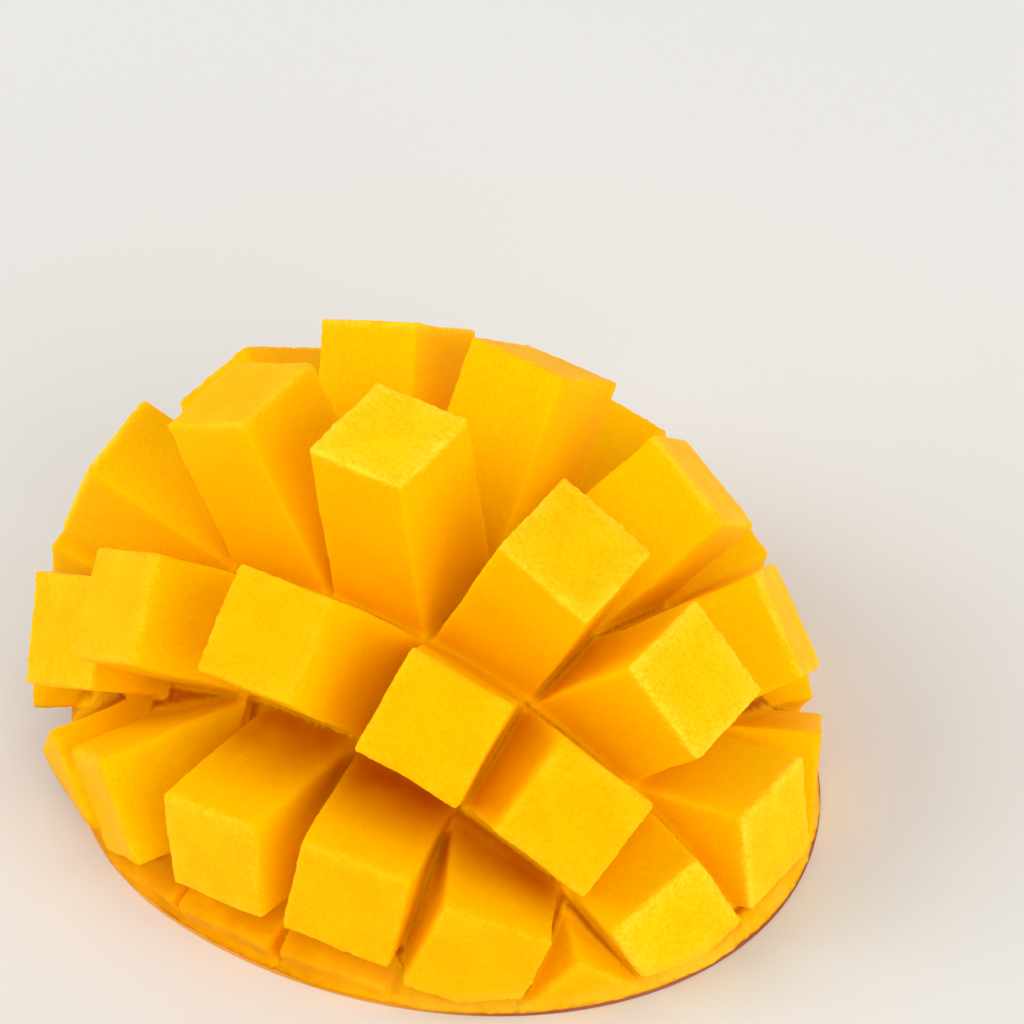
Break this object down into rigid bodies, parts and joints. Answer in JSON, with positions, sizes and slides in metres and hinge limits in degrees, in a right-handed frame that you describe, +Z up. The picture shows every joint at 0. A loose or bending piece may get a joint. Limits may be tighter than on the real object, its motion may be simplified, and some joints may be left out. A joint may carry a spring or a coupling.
{
  "type": "cubed mango half",
  "caption": "Mango half scored in a grid down to the skin and pushed inside out, so that blocks of flesh fan out over a dome of skin.",
  "frame": {"origin": "middle of the whole half's box, on the surface it stands on", "axes": "+X the long way of the fruit, away from its blunt end, +Z up"},
  "size_m": [0.1216, 0.102, 0.0601],
  "materials": {
    "flesh": "moist, slightly glossy ripe mango flesh, bright yellow on the cut faces and deeper orange in the cuts"
  },
  "bodies": {
    "root": {"mango_half": "flesh"}
  },
  "joints": []
}
